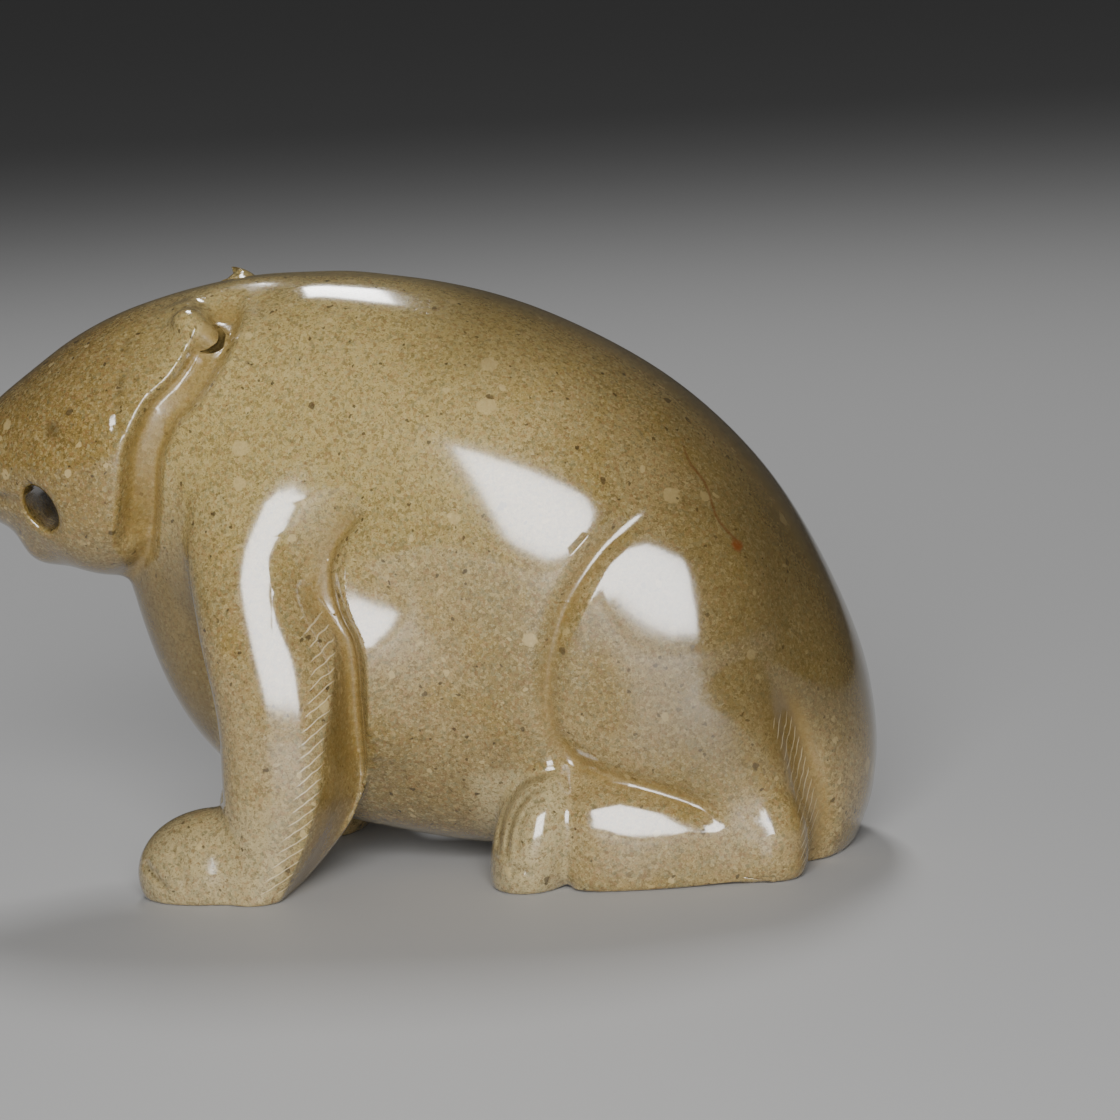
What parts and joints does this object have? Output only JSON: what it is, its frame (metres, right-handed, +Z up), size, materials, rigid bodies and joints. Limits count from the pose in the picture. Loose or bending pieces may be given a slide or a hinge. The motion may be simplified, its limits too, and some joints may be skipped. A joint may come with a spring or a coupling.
{
  "type": "carved bear figurine",
  "caption": "Small bear carved from one stone, standing low with its head lowered, egg-shaped back and folded hind legs.",
  "frame": {"origin": "middle of the bounding box in plan, on the flat undersides of the feet", "axes": "+X from the head to the tail, +Y to the bear's right side, +Z up"},
  "size_m": [0.0729, 0.037, 0.0482],
  "materials": {
    "stone": "polished"
  },
  "bodies": {
    "root": {"bear": "stone"}
  },
  "joints": []
}
